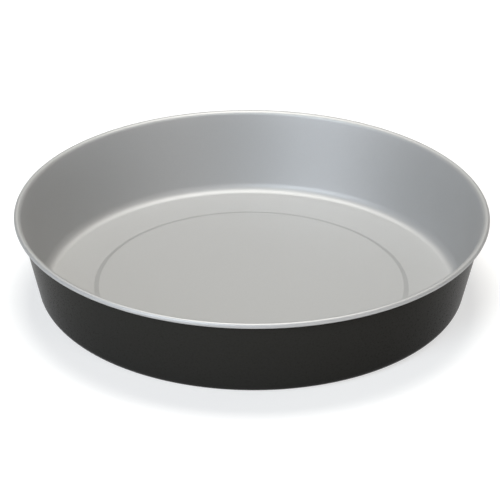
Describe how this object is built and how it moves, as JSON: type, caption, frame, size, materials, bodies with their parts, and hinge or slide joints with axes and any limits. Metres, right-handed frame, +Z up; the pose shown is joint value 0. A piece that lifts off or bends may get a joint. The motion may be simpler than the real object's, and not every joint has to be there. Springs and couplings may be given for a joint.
{
  "type": "round cake tin",
  "caption": "Round shallow cake tin with a slightly flared wall, rolled rim and a shallow ring pressed into the base; silver inside and near-black outside.",
  "frame": {"origin": "centre of the tin on the plane that it stands on", "axes": "+Z up along the tin's axis; the tin is round, so X and Y are alike, and the wire's two ends meet on the +X side"},
  "size_m": [0.265, 0.265, 0.0491],
  "materials": {
    "bare_steel": "cold-rolled, satin",
    "silver_nonstick": "satin metallic silver-grey nonstick coating",
    "dark_nonstick": "satin near-black coating",
    "wire_steel": "drawn steel wire"
  },
  "bodies": {
    "root": {"steel_pan": "bare_steel", "silver_lining": "silver_nonstick", "dark_outer_coat": "dark_nonstick", "rim_wire": "wire_steel"}
  },
  "joints": []
}
